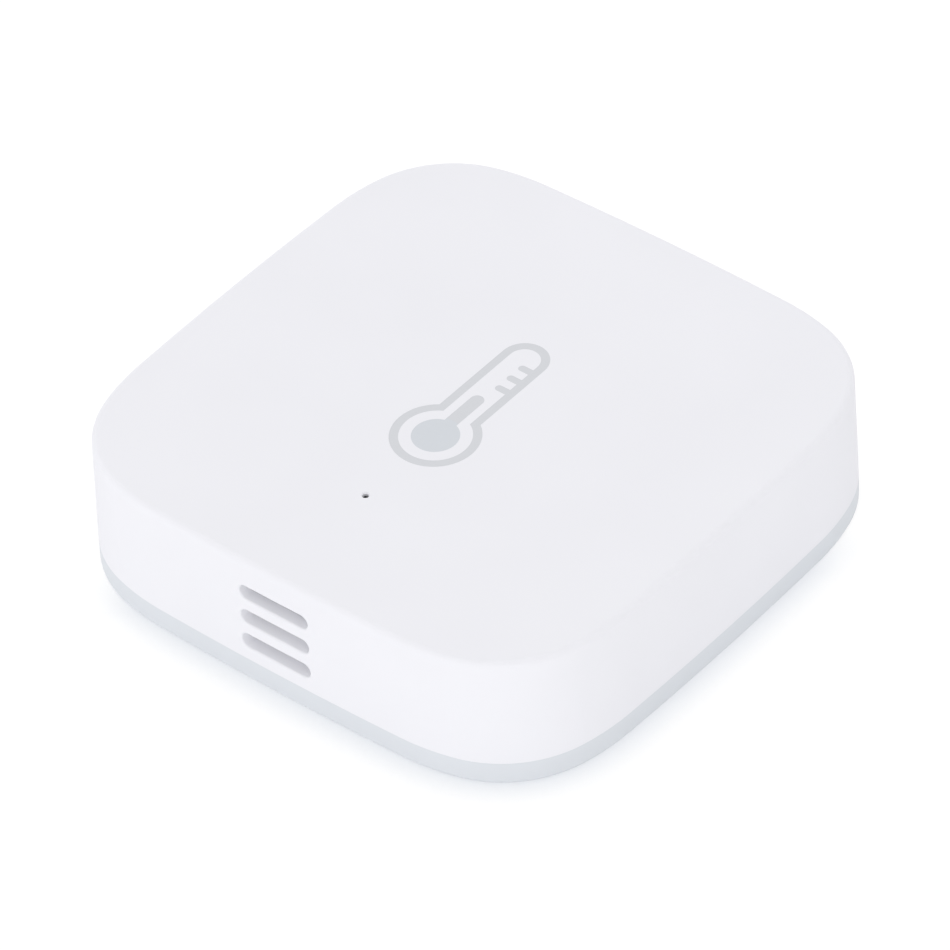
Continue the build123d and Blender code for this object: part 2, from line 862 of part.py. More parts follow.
with BuildPart() as switch_frame:
    with BuildSketch(Plane.XZ.offset(-switch_front)):
        with Locations((0, board_middle)):
            Rectangle(switch_width + 2 * switch_sheet, switch_height)
            Rectangle(
                plunger_width + 2 * plunger_clearance,
                plunger_height + 2 * plunger_clearance,
                mode=Mode.SUBTRACT,
            )
    extrude(amount=switch_sheet)
    # Ears that are soldered to the top of the board, either side of the notch
    with BuildSketch(Plane.XY.offset(board_top)):
        for side in (-1, 1):
            with Locations((side * (switch_width + tab_width) / 2, switch_front - tab_depth / 2)):
                Rectangle(tab_width, tab_depth)
    extrude(amount=switch_sheet)
save(switch_frame, "switch_frame")

# Negative contact: a leaf from the board's underside down to the cell's cap
leaf_path = (
    (-leaf_reach, board_bottom - contact_sheet),
    (contact_pad - leaf_reach, board_bottom - contact_sheet),
    (-leaf_touch, cell_top),
    (leaf_touch, cell_top),
    (leaf_touch + leaf_tail, cell_top + leaf_tail_rise),
)
with BuildPart() as negative_contact:
    with BuildSketch(Plane.XZ):
        with BuildLine():
            raised = [(x, z + contact_sheet) for x, z in reversed(leaf_path)]
            Polyline(*leaf_path, *raised, close=True)
        make_face()
    extrude(amount=contact_width / 2, both=True)
save(negative_contact, "negative_contact")

# Positive contact: a clip from the board's underside down along the can
clip_bend = can_top - can_corner_radius
with BuildPart() as positive_contact:
    with BuildSketch(Plane.XZ):
        with BuildLine():
            Polyline(
                (cell_radius, clip_bend - clip_drop),
                (cell_radius + contact_sheet, clip_bend - clip_drop),
                (cell_radius + contact_sheet, clip_bend),
                (clip_far, board_bottom - contact_sheet),
                (clip_far + contact_pad, board_bottom - contact_sheet),
                (clip_far + contact_pad, board_bottom),
                (clip_far - contact_sheet, board_bottom),
                (cell_radius, clip_bend + contact_sheet),
                close=True,
            )
        make_face()
    extrude(amount=contact_width / 2, both=True)
save(positive_contact, "positive_contact")


def on_board(shares):
    """A place on the board from its shares of the half width."""
    across, along = shares
    return (across * half_width, along * half_width)


# Wireless controller, with a dot for its first corner
with BuildPart() as radio_controller:
    with BuildSketch(Plane.XY.offset(board_top)):
        with Locations(on_board(controller_shares)):
            Rectangle(controller_size, controller_size)
    extrude(amount=controller_height)
    dot_corner = controller_size / 2 - 3 * corner_dot_radius
    with BuildSketch(Plane.XY.offset(board_top + controller_height)):
        with Locations(on_board(controller_shares)):
            with Locations((-dot_corner, dot_corner)):
                Circle(corner_dot_radius)
    extrude(amount=-corner_dot_depth, mode=Mode.SUBTRACT)
save(radio_controller, "radio_controller")

# Memory chip with legs along both long sides
with BuildPart() as memory_chip:
    with BuildSketch(Plane.XY.offset(board_top + memory_stand_off)):
        with Locations(on_board(memory_shares)):
            Rectangle(memory_width, memory_length)
    extrude(amount=memory_height - memory_stand_off)
    with BuildSketch(Plane.XY.offset(board_top)):
        with Locations(on_board(memory_shares)):
            with GridLocations(memory_width, leg_pitch, 2, legs_per_side):
                Rectangle(2 * leg_length, leg_width)
    extrude(amount=leg_sheet)
save(memory_chip, "memory_chip")

# Crystal in its metal can
with BuildPart() as crystal:
    with BuildSketch(Plane.XY.offset(board_top)):
        with Locations(on_board(crystal_shares)):
            RectangleRounded(crystal_length, crystal_width, crystal_corner_radius)
    extrude(amount=crystal_height)
save(crystal, "crystal")

# Storage capacitor beside the cell's supply
with BuildPart() as storage_capacitor:
    with BuildSketch(Plane.XY.offset(board_top)):
        with Locations(on_board(storage_shares)):
            Rectangle(storage_width, storage_length)
    extrude(amount=storage_height)
save(storage_capacitor, "storage_capacitor")

# Chip capacitors and chip resistors, each kind as one group of solids
with BuildPart() as capacitors:
    with BuildSketch(Plane.XY.offset(board_top)):
        with Locations(*[on_board(shares) for shares in capacitor_shares]):
            Rectangle(chip_length, chip_width)
    extrude(amount=capacitor_height)
save(capacitors, "capacitors")

with BuildPart() as resistors:
    with BuildSketch(Plane.XY.offset(board_top)):
        with Locations(*[on_board(shares) for shares in resistor_shares]):
            Rectangle(chip_length, chip_width)
    extrude(amount=resistor_height)
save(resistors, "resistors")

# Antenna: copper that runs to and fro along the board's edge
with BuildPart() as antenna:
    with BuildSketch(Plane.XY.offset(board_top)):
        with Locations(on_board(antenna_shares)):
            with GridLocations(0, antenna_pitch, 1, antenna_turns + 1):
                Rectangle(antenna_depth, antenna_trace)
            for turn in range(antenna_turns):
                side = 1 if turn % 2 else -1
                across = side * (antenna_depth - antenna_trace) / 2
                along = (turn - (antenna_turns - 1) / 2) * antenna_pitch
                with Locations((across, along)):
                    Rectangle(antenna_trace, antenna_pitch)
    extrude(amount=antenna_copper)
save(antenna, "antenna")
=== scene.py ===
import math

import bmesh
import bpy
from mathutils import Matrix, Vector
from mathutils.geometry import convex_hull_2d


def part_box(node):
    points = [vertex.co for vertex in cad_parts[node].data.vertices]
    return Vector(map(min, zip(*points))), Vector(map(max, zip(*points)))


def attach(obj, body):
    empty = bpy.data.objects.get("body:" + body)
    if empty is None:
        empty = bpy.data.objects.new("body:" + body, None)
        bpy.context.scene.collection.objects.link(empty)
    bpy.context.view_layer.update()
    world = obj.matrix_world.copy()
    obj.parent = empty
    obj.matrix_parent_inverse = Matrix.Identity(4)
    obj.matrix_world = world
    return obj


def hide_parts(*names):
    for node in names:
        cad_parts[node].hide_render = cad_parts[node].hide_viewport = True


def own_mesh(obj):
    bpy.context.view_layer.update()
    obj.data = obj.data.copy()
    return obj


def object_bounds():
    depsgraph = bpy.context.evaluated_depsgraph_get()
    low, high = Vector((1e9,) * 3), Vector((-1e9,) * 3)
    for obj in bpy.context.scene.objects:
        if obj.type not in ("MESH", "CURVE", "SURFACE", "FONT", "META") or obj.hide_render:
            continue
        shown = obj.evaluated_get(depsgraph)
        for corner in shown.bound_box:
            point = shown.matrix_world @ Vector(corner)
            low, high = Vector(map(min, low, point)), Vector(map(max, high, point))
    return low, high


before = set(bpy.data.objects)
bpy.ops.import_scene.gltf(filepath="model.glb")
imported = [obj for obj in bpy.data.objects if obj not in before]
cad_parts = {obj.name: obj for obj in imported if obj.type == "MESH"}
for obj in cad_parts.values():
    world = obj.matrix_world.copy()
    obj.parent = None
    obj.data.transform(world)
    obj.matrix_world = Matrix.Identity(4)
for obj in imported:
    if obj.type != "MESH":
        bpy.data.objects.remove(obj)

cad_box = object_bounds()

# Lengths are in metres, written as millimetres times MM. Angles are in degrees.
MM = 0.001

# Camera: a long lens at the photograph's angle, turned a little about its own axis
CAMERA_AZIMUTH = 41.21
CAMERA_ELEVATION = 41.825
CAMERA_ROLL = -3.298
CAMERA_DISTANCE = 445.25 * MM
CAMERA_SLIDE_RIGHT = -0.108 * MM
CAMERA_SLIDE_UP = -0.715 * MM
SENSOR_WIDTH_MM = 36.0
IMAGE_WIDTH_PX = 950
FOCAL_PX = 7815.0
CLIP_START = 10 * MM
CLIP_END = 20.0

# Light: white surroundings, a little brighter low down and towards -X and +Y, and one
# broad key near the horizon on the vents' side, so that the floor hides its lower half
WORLD_STRENGTH = 0.991
WORLD_SLOPE = (-0.25, 0.25, -0.042)
KEY_AZIMUTH = 28.4
KEY_ELEVATION = 2.05
KEY_STRENGTH = 1.41
KEY_SPREAD = 50.0

# Floor: a white table, blown out to white where it is looked at, but for the contact
# shadow, which is laid to follow the photograph. It thins out at the two corners
# that lie across the photograph's view. The table is cut out under the object's foot, so
# that the underside can be seen from below.
FLOOR_RADIUS = 3.0
FOOT_THICKNESS = 0.01 * MM
FLOOR_WHITE = 0.95
FLOOR_SEEN = 0.30
SHADOW_REACH = 2.2 * MM
SHADOW_FOOT = (0.588, 0.607, 0.640)
SHADOW_FOOT_AT = 0.5
SHADOW_CLEAR = (0.756, 0.756, 0.756)
SHADOW_THIN_WITHIN = 2.5 * MM
SHADOW_FULL_BEYOND = 6.0 * MM
OCCLUSION_SAMPLES = 16

# Colours
WHITE = (1.0, 1.0, 1.0)
SHELL_WHITE = (0.845, 0.845, 0.885)
BASE_GREY = (0.701, 0.727, 0.767)
COVER_GREY = (0.680, 0.705, 0.744)
INK_GREY = (0.636, 0.648, 0.680)
INK_BLUE = (0.630, 0.658, 0.700)
FRAME_WHITE = (0.74, 0.745, 0.755)
GASKET_GREY = (0.34, 0.35, 0.37)
KEY_GREY = (0.30, 0.31, 0.33)
MASK_GREEN = (0.012, 0.105, 0.045)
TRACE_GREEN = (0.022, 0.175, 0.075)
PAD_GOLD = (0.80, 0.60, 0.28)
LAMINATE = (0.50, 0.43, 0.22)
CHIP_BLACK = (0.018, 0.018, 0.021)
CHIP_MARK = (0.075, 0.075, 0.08)
MEMBRANE = (0.72, 0.72, 0.70)
TIN = (0.66, 0.66, 0.64)
STEEL = (0.56, 0.56, 0.55)
SPRING_STEEL = (0.60, 0.59, 0.56)
NICKEL = (0.70, 0.66, 0.58)
COPPER = (0.80, 0.42, 0.25)
OCHRE = (0.62, 0.36, 0.06)
OCHRE_BAND = (0.30, 0.13, 0.03)
CERAMIC_TAN = (0.46, 0.31, 0.19)
CERAMIC_WHITE = (0.78, 0.77, 0.74)
RESISTOR_BLACK = (0.02, 0.02, 0.022)
LAMP_WHITE = (0.80, 0.80, 0.76)
LAMP_LENS = (0.86, 0.82, 0.55)
SMOKED = (0.24, 0.24, 0.26)
POWDER_BLACK = (0.018, 0.018, 0.019)
PAPER_WHITE = (0.82, 0.81, 0.77)
LITHIUM_GREY = (0.52, 0.53, 0.55)
LITHIUM_DULL = (0.33, 0.33, 0.34)

# How much fine detail a noise has
SMOOTH = 2.0
FINE = 3.0
ROUGH = 4.0
FIBROUS = 5.0

# How a noise is stretched: an axis with a small number is the one the grain runs along
EVEN = (1.0, 1.0, 1.0)
ROLLED_ALONG_X = (0.08, 1.0, 1.0)
ROLLED_ALONG_Y = (1.0, 0.08, 1.0)
DIPPED_ALONG_Z = (1.0, 1.0, 0.3)
SATIN_ALONG_X = (0.15, 1.0, 1.0)
FIBRES_ALONG_X = (0.12, 1.0, 1.0)
FIBRES_ALONG_Y = (1.0, 0.12, 1.0)
LAYERS_ACROSS_Z = (1.0, 1.0, 6.0)

# Where in its noise a mottled colour starts to change, and where it is fully itself
MOTTLE_START = 0.3
MOTTLE_END = 0.7

# A surface whose normal has more than this share along Z is level, otherwise a side
LEVEL_SHARE = 0.5

# Names below that end in DARK are the share of a colour that is left in its dark places.
# Those that end in ROUGH hold a roughness, or the two that a surface varies between.

# Mouldings: how little satin ones mirror (0.5 is a glossy plastic), how far their
# roughness varies, their faint flow clouds, and the reach of light inside a milky one
SATIN_SPECULAR = 0.25
SATIN_SPREAD = 0.05
FLOW_CLOUDS = 9 * MM
FLOW_DARK = 0.985
LIGHT_REACH = 0.7 * MM

# Printed ink: the radius of the bluer bulb, and how the film's thickness varies
BULB_CORE = 1.55 * MM
INK_CLOUDS = 0.35 * MM
INK_THIN = 0.985
INK_THICK = 1.015
INK_PORES = 0.12 * MM
INK_GRAIN = 0.09 * MM
INK_RELIEF = 0.002 * MM
INK_ROUGH = (0.42, 0.56)

# Circuit board: blocks of traces that run one way or the other, plated holes, the
# laminate's cut edge and the weave under the lacquer
TRACE_BLOCK = 3.4 * MM
TRACE_PITCH = 0.5 * MM
TRACE_SHARE = 0.4
CROSSWAYS_BELOW = 0.38
LENGTHWAYS_ABOVE = 0.62
HOLE_PITCH = 2.6 * MM
PAD_SHARE = 0.085
DRILL_SHARE = 0.045
DRILL_DARK = 0.4
GLASS_FIBRES = 0.12 * MM
GLASS_DARK = 0.7
WEAVE_SIZE = 0.6 * MM
WEAVE_SHARE = 0.5
LACQUER_RELIEF = 0.03 * MM
LACQUER_ROUGH = 0.28
CUT_EDGE_ROUGH = 0.75

# Chips: speckles of filler in the epoxy, and how much smoother their tinned metal is
FILLER_SIZE = 0.05 * MM
FILLER_START = 0.35
FILLER_END = 0.72
EPOXY_GRAIN = 0.07 * MM
EPOXY_CLOUDS = 0.3 * MM
EPOXY_RELIEF = 0.006 * MM
EPOXY_ROUGH = (0.52, 0.68)
TIN_SMOOTHER = 0.25

# Controller: a row of terminals round its foot. Memory: the half width of its body
PAD_HALF = 0.5
CONTROLLER_PAD_PITCH = 0.5 * MM
CONTROLLER_PAD_HEIGHT = 0.2 * MM
MEMORY_BODY_HALF = 1.96 * MM

# Humidity sensor: the radius of its window and the fibres of the membrane in it
SENSOR_WINDOW = 0.56 * MM
SENSOR_ROUGH = 0.55
MEMBRANE_FIBRES = 0.03 * MM
MEMBRANE_DARK = 0.75
MEMBRANE_RELIEF = 0.006 * MM
MEMBRANE_ROUGH = 0.9

# Storage capacitor: the band at one end, and feet that show at the foot of both ends
STORAGE_BAND = 0.75 * MM
STORAGE_FOOT_HEIGHT = 0.55 * MM
STORAGE_FOOT_HALF = 0.95 * MM
STORAGE_END_SKIN = 0.02 * MM
STORAGE_SPECKLES = 1.2
STORAGE_GRAIN = 0.08 * MM
STORAGE_CLOUDS = 0.2 * MM
STORAGE_RELIEF = 0.005 * MM
STORAGE_ROUGH = (0.4, 0.6)

# Chip capacitors
CERAMIC_SPECKS = 0.04 * MM
CERAMIC_DARK = 0.8
CERAMIC_RELIEF = 0.003 * MM
CERAMIC_ROUGH = (0.35, 0.55)

# Sheet metal: its brushed grain makes it this much smoother or rougher
SHEET_GRAIN = 0.06 * MM
SHEET_CLOUDS = 2.5 * MM
SHEET_DARK = 0.88
SHEET_RELIEF = 0.0015 * MM
SHEET_SMOOTHER = 0.08
SHEET_ROUGHER = 0.10

# Cell steel: fine rings from turning, which make it this much smoother or rougher
RING_PITCH = 0.05 * MM
STEEL_CLOUDS = 3.5 * MM
STEEL_DARK = 0.90
RING_RELIEF = 0.001 * MM
RING_SPREAD = 0.08

# Crystal and lamp: the height of the pale foot under the crystal's lid and the lamp's lens
PALE_FOOT = 0.25 * MM
LID_GRAIN = 0.08 * MM
LID_RELIEF = 0.0015 * MM
LID_ROUGH = (0.28, 0.46)
MILK_CLOUDS = 0.25 * MM
LENS_DARK = 0.9
LENS_RELIEF = 0.004 * MM
LENS_ROUGH = (0.16, 0.28)
LAMP_CARRIED = 0.4
LAMP_REACH = 0.3 * MM

# Light guide
RIPPLE_SIZE = 0.5 * MM
RIPPLE_DARK = 0.9
RIPPLE_RELIEF = 0.004 * MM
ACRYLIC_ROUGH = (0.05, 0.12)
ACRYLIC_INDEX = 1.49

# Cathode: grains in lumps, which go from black to a paler black
POWDER_GRAINS = 0.09 * MM
POWDER_LUMPS = 0.8 * MM
POWDER_START = 0.3
POWDER_END = 0.75
POWDER_PALER = 2.4
POWDER_RELIEF = 0.02 * MM
POWDER_ROUGH = (0.78, 0.95)

# Separator: fibres, dark in between
FELT_FIBRES = 0.1 * MM
FELT_START = 0.4
FELT_END = 0.7
FELT_DARK = 0.86
FELT_RELIEF = 0.01 * MM
FELT_ROUGH = (0.85, 0.95)

# Lithium: dull up to the start and bright from the end, and smoother where it is bright
LITHIUM_PATCHES = 2.2 * MM
LITHIUM_START = 0.38
LITHIUM_END = 0.58
LITHIUM_GRAIN = 0.1 * MM
LITHIUM_RELIEF = 0.003 * MM
LITHIUM_ROUGH = (0.62, 0.36)

# End caps of the small chips, and the reach within which corners are one chip's
CAP_LENGTH = 0.22 * MM
CAP_SKIN = 0.012 * MM
CAP_ROUNDING = 0.03 * MM
CAP_ROUNDING_STEPS = 2
CAP_ROUNDING_PROFILE = 0.5
CHIP_REACH = 1.2 * MM


def rgba(colour):
    """A colour socket's value."""
    return (*colour, 1.0)


def shaded(colour, share):
    """The same colour at this share of its brightness."""
    return tuple(c * share for c in colour)


def link_object(name, data):
    """A new object in the scene."""
    obj = bpy.data.objects.new(name, data)
    bpy.context.scene.collection.objects.link(obj)
    return obj


def direction(azimuth, elevation):
    """Unit vector from the object towards that azimuth and elevation."""
    a = math.radians(azimuth)
    e = math.radians(elevation)
    return Vector((math.sin(a) * math.cos(e), -math.cos(a) * math.cos(e), math.sin(e)))


def middle(node):
    """The middle of a CAD node's box."""
    low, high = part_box(node)
    return (low + high) / 2


def make_camera():
    """The camera of the photograph."""
    back = direction(CAMERA_AZIMUTH, CAMERA_ELEVATION)
    right = (-back).cross(Vector((0, 0, 1))).normalized()
    up = right.cross(-back)
    roll = math.radians(CAMERA_ROLL)
    rolled_right = math.cos(roll) * right + math.sin(roll) * up
    rolled_up = math.cos(roll) * up - math.sin(roll) * right
    place = Vector((0, 0, cad_box[1].z / 2)) + CAMERA_DISTANCE * back
    place += CAMERA_SLIDE_RIGHT * rolled_right + CAMERA_SLIDE_UP * rolled_up
    data = bpy.data.cameras.new("photo_camera")
    data.sensor_width = SENSOR_WIDTH_MM
    data.lens = FOCAL_PX * SENSOR_WIDTH_MM / IMAGE_WIDTH_PX
    data.clip_start = CLIP_START
    data.clip_end = CLIP_END
    camera = link_object("photo_camera", data)
    turn = Matrix((rolled_right, rolled_up, back)).transposed().to_4x4()
    camera.matrix_world = Matrix.Translation(place) @ turn
    bpy.context.scene.camera = camera


class Tree:
    """A node tree that is filled by short calls."""

    def __init__(self, owner, output):
        owner.use_nodes = True
        self.tree = owner.node_tree
        self.tree.nodes.clear()
        self.output = self.tree.nodes.new(output)

    def node(self, kind, **values):
        """A node with these settings."""
        made = self.tree.nodes.new(kind)
        for name, value in values.items():
            setattr(made, name, value)
        return made

    def link(self, start, end):
        """Join two sockets."""
        self.tree.links.new(start, end)

    def put(self, value, socket):
        """Set a socket to a value, or link another socket to it."""
        if isinstance(value, bpy.types.NodeSocket):
            self.link(value, socket)
        elif isinstance(value, tuple) and socket.type == "RGBA":
            socket.default_value = rgba(value)
        else:
            socket.default_value = value

    def finish(self, shader):
        """Send this shader to the surface."""
        self.link(shader, self.output.inputs["Surface"])

    def math(self, operation, *values):
        """A sum or a comparison of numbers."""
        made = self.node("ShaderNodeMath", operation=operation)
        for value, socket in zip(values, made.inputs):
            self.put(value, socket)
        return made.outputs[0]

    def above(self, value, limit):
        """1 where the value is over the limit."""
        return self.math("GREATER_THAN", value, limit)

    def below(self, value, limit):
        """1 where the value is under the limit."""
        return self.math("LESS_THAN", value, limit)

    def both(self, first, second):
        """1 where both are 1."""
        return self.math("MULTIPLY", first, second)

    def vector(self, operation, first, second):
        """A calculation with two vectors: the made node."""
        made = self.node("ShaderNodeVectorMath", operation=operation)
        self.put(first, made.inputs[0])
        self.put(second, made.inputs[1])
        return made

    def seen_directly(self):
        """1 where the camera sees the surface, also in a mirror or through glass."""
        path = self.node("ShaderNodeLightPath")
        either = self.math("MAXIMUM", path.outputs["Is Camera Ray"], path.outputs["Is Glossy Ray"])
        return self.math("MAXIMUM", either, path.outputs["Is Transmission Ray"])

    def choose(self, factor, first, second):
        """One shader or the other."""
        mix = self.node("ShaderNodeMixShader")
        self.link(factor, mix.inputs[0])
        self.link(first, mix.inputs[1])
        self.link(second, mix.inputs[2])
        return mix.outputs[0]

    def glow(self, kind, colour, strength):
        """An emitting shader of one colour."""
        made = self.node(kind)
        self.put(colour, made.inputs["Color"])
        self.put(strength, made.inputs["Strength"])
        return made.outputs[0]

    def diffuse(self, share):
        """A plain matt grey shader."""
        made = self.node("ShaderNodeBsdfDiffuse")
        made.inputs["Color"].default_value = rgba((share, share, share))
        return made.outputs[0]

    def place(self):
        """The piece's own coordinates, in metres."""
        return self.node("ShaderNodeTexCoord").outputs["Object"]

    def along(self, axis):
        """One of the piece's own coordinates, in metres."""
        split = self.node("ShaderNodeSeparateXYZ")
        self.link(self.place(), split.inputs[0])
        return split.outputs[axis]

    def facing_up(self):
        """How far the surface faces up or down, from 0 to 1."""
        split = self.node("ShaderNodeSeparateXYZ")
        self.link(self.node("ShaderNodeNewGeometry").outputs["Normal"], split.inputs[0])
        return self.math("ABSOLUTE", split.outputs["Z"])

    def round_the_axis(self, centre):
        """Distance from an upright line through this point."""
        off = self.vector("SUBTRACT", self.place(), tuple(centre))
        flat = self.vector("MULTIPLY", off.outputs[0], (1.0, 1.0, 0.0))
        return self.vector("LENGTH", flat.outputs[0], (0.0, 0.0, 0.0)).outputs["Value"]

    def apart(self, axis, centre):
        """Distance from a plane across this axis."""
        return self.math("ABSOLUTE", self.math("SUBTRACT", self.along(axis), centre))

    def stretched(self, stretch):
        """The piece's own coordinates, stretched along each axis."""
        return self.vector("MULTIPLY", self.place(), stretch).outputs[0]

    def noise(self, size, detail=SMOOTH, stretch=None):
        """Cloudy noise whose features are about this size."""
        made = self.node("ShaderNodeTexNoise")
        made.inputs["Scale"].default_value = 1 / size
        made.inputs["Detail"].default_value = detail
        self.link(self.stretched(stretch) if stretch else self.place(), made.inputs["Vector"])
        return made.outputs["Fac"]

    def rings(self, size, centre):
        """Noise in fine rings about an upright line."""
        made = self.node("ShaderNodeTexNoise", noise_dimensions="1D")
        made.inputs["Scale"].default_value = 1 / size
        made.inputs["Detail"].default_value = ROUGH
        self.link(self.round_the_axis(centre), made.inputs["W"])
        return made.outputs["Fac"]

    def cells(self, size, distance="EUCLIDEAN"):
        """A pattern of cells: the made node."""
        made = self.node("ShaderNodeTexVoronoi", distance=distance)
        made.inputs["Scale"].default_value = 1 / size
        self.link(self.place(), made.inputs["Vector"])
        return made

    def stripes(self, axis, pitch, share):
        """1 in stripes across this axis that take up this share of their pitch."""
        turns = self.math("DIVIDE", self.along(axis), pitch)
        return self.below(self.math("FRACT", turns), share)

    def ramp(self, factor, *stops):
        """Colours at places from 0 to 1."""
        made = self.node("ShaderNodeValToRGB")
        elements = made.color_ramp.elements
        while len(elements) < len(stops):
            elements.new(1.0)
        for element, (place, colour) in zip(elements, stops):
            element.position = place
            element.color = rgba(colour)
        self.link(factor, made.inputs["Fac"])
        return made.outputs["Color"]

    def mottled(self, factor, colour, share):
        """A colour that varies between itself and this share of its brightness."""
        return self.ramp(factor, (MOTTLE_START, shaded(colour, share)), (MOTTLE_END, colour))

    def blend(self, factor, first, second):
        """One colour or the other."""
        made = self.node("ShaderNodeMix", data_type="RGBA")
        self.link(factor, made.inputs["Factor"])
        colours = [socket for socket in made.inputs if socket.type == "RGBA"]
        self.put(first, colours[0])
        self.put(second, colours[1])
        return next(socket for socket in made.outputs if socket.type == "RGBA")

    def scaled(self, factor, low, high, start=0.0, end=1.0):
        """A value from start to end turned into one from low to high."""
        made = self.node("ShaderNodeMapRange")
        made.inputs["From Min"].default_value = start
        made.inputs["From Max"].default_value = end
        made.inputs["To Min"].default_value = low
        made.inputs["To Max"].default_value = high
        self.link(factor, made.inputs["Value"])
        return made.outputs["Result"]

    def bump(self, height, depth):
        """Surface relief of this depth from a height between 0 and 1."""
        made = self.node("ShaderNodeBump")
        made.inputs["Distance"].default_value = depth
        made.inputs["Strength"].default_value = 1.0
        self.link(height, made.inputs["Height"])
        return made.outputs["Normal"]

    def principled(self, **values):
        """A Principled shader. A value is set on its socket, a socket is linked to it."""
        made = self.node("ShaderNodeBsdfPrincipled")
        for name, value in values.items():
            self.put(value, made.inputs[name.replace("_", " ")])
        self.finish(made.outputs["BSDF"])


def material(name):
    """A new material with an empty tree."""
    made = bpy.data.materials.new(name)
    return made, Tree(made, "ShaderNodeOutputMaterial")


def make_world():
    """Soft white surroundings, pure white where the camera looks at them."""
    world = bpy.data.worlds.new("studio")
    bpy.context.scene.world = world
    tree = Tree(world, "ShaderNodeOutputWorld")
    towards = tree.node("ShaderNodeTexCoord").outputs["Generated"]
    slope = tree.vector("DOT_PRODUCT", towards, WORLD_SLOPE).outputs["Value"]
    strength = tree.math("MULTIPLY_ADD", slope, WORLD_STRENGTH, WORLD_STRENGTH)
    lit = tree.glow("ShaderNodeBackground", WHITE, strength)
    seen = tree.glow("ShaderNodeBackground", WHITE, 1.0)
    tree.finish(tree.choose(tree.seen_directly(), lit, seen))


def make_key():
    """One broad soft lamp low on the vents' side."""
    data = bpy.data.lights.new("key", "SUN")
    data.energy = KEY_STRENGTH
    data.angle = math.radians(KEY_SPREAD)
    lamp = link_object("key", data)
    lamp.rotation_mode = "QUATERNION"
    lamp.rotation_quaternion = direction(KEY_AZIMUTH, KEY_ELEVATION).to_track_quat("Z", "Y")


def contact_shadow(tree):
    """What the floor adds where it is looked at: white, less near the object's foot."""
    nearness = tree.node("ShaderNodeAmbientOcclusion", samples=OCCLUSION_SAMPLES)
    nearness.inputs["Distance"].default_value = SHADOW_REACH
    across = direction(CAMERA_AZIMUTH, 0)
    out = tree.vector("DOT_PRODUCT", tree.place(), tuple(across)).outputs["Value"]
    distance = tree.math("ABSOLUTE", out)
    share = tree.scaled(distance, 0.0, 1.0, SHADOW_THIN_WITHIN, SHADOW_FULL_BEYOND)
    hidden = tree.math("SUBTRACT", 1.0, nearness.outputs["AO"])
    shade = tree.math("SUBTRACT", 1.0, tree.math("MULTIPLY", hidden, share))
    colour = tree.ramp(shade, (SHADOW_FOOT_AT, SHADOW_FOOT), (1.0, SHADOW_CLEAR))
    return tree.glow("ShaderNodeEmission", colour, 1.0)


def foot_outline():
    """The outline of the flat face that the object stands on."""
    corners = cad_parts["base"].data.vertices
    foot = [corner.co.xy for corner in corners if corner.co.z < FOOT_THICKNESS]
    return [foot[i] for i in convex_hull_2d(foot)]


def make_floor():
    """A white table that the object stands on."""
    outline = foot_outline()
    count = len(outline)
    near = [(*p, 0.0) for p in outline]
    far = [(*(p.normalized() * FLOOR_RADIUS), 0.0) for p in outline]
    strips = [(i, i + count, (i + 1) % count + count, (i + 1) % count) for i in range(count)]
    mesh = bpy.data.meshes.new("floor")
    mesh.from_pydata(near + far, [], strips)
    floor = link_object("floor", mesh)
    made, tree = material("white_table")
    both = tree.node("ShaderNodeAddShader")
    tree.link(tree.diffuse(FLOOR_SEEN), both.inputs[0])
    tree.link(contact_shadow(tree), both.inputs[1])
    tree.finish(tree.choose(tree.seen_directly(), tree.diffuse(FLOOR_WHITE), both.outputs[0]))
    mesh.materials.append(made)


def moulding(name, colour, roughness, grain, depth, carried=0.0):
    """Moulded plastic: an eroded satin grain and faint flow clouds. A milky one carries light."""
    made, tree = material(name)
    spots = tree.noise(grain, FINE)
    tree.principled(
        Base_Color=tree.mottled(tree.noise(FLOW_CLOUDS), colour, FLOW_DARK),
        Roughness=tree.scaled(spots, roughness - SATIN_SPREAD, roughness + SATIN_SPREAD),
        Specular_IOR_Level=SATIN_SPECULAR,
        Normal=tree.bump(spots, depth),
        Subsurface_Weight=carried,
        Subsurface_Radius=(1.0, 1.0, 1.0),
        Subsurface_Scale=LIGHT_REACH,
    )
    return made


def printed_ink(name, colour, core_colour):
    """Pad-printed ink: slightly mottled, with a bluer bulb."""
    made, tree = material(name)
    low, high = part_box("thermometer_print")
    bulb = ((low.x + high.x) / 2, low.y + (high.x - low.x) / 2, high.z)
    inside = tree.below(tree.round_the_axis(bulb), BULB_CORE)
    film = tree.scaled(tree.noise(INK_CLOUDS, ROUGH), INK_THIN, INK_THICK)
    ink = tree.node("ShaderNodeHueSaturation")
    tree.link(tree.blend(inside, colour, core_colour), ink.inputs["Color"])
    tree.link(film, ink.inputs["Value"])
    tree.principled(
        Base_Color=ink.outputs["Color"],
        Roughness=tree.scaled(tree.noise(INK_PORES, FINE), *INK_ROUGH),
        Normal=tree.bump(tree.noise(INK_GRAIN, FINE), INK_RELIEF),
    )
    return made


def trace_pattern(tree):
    """1 on the traces: each block has them one way, the other way or not at all."""
    block = tree.node("ShaderNodeSeparateColor")
    tree.link(tree.cells(TRACE_BLOCK, "CHEBYCHEV").outputs["Color"], block.inputs[0])
    pick = block.outputs["Red"]
    crossways = tree.both(
        tree.stripes("Y", TRACE_PITCH, TRACE_SHARE), tree.below(pick, CROSSWAYS_BELOW)
    )
    lengthways = tree.both(
        tree.stripes("X", TRACE_PITCH, TRACE_SHARE), tree.above(pick, LENGTHWAYS_ABOVE)
    )
    return tree.math("MAXIMUM", crossways, lengthways)


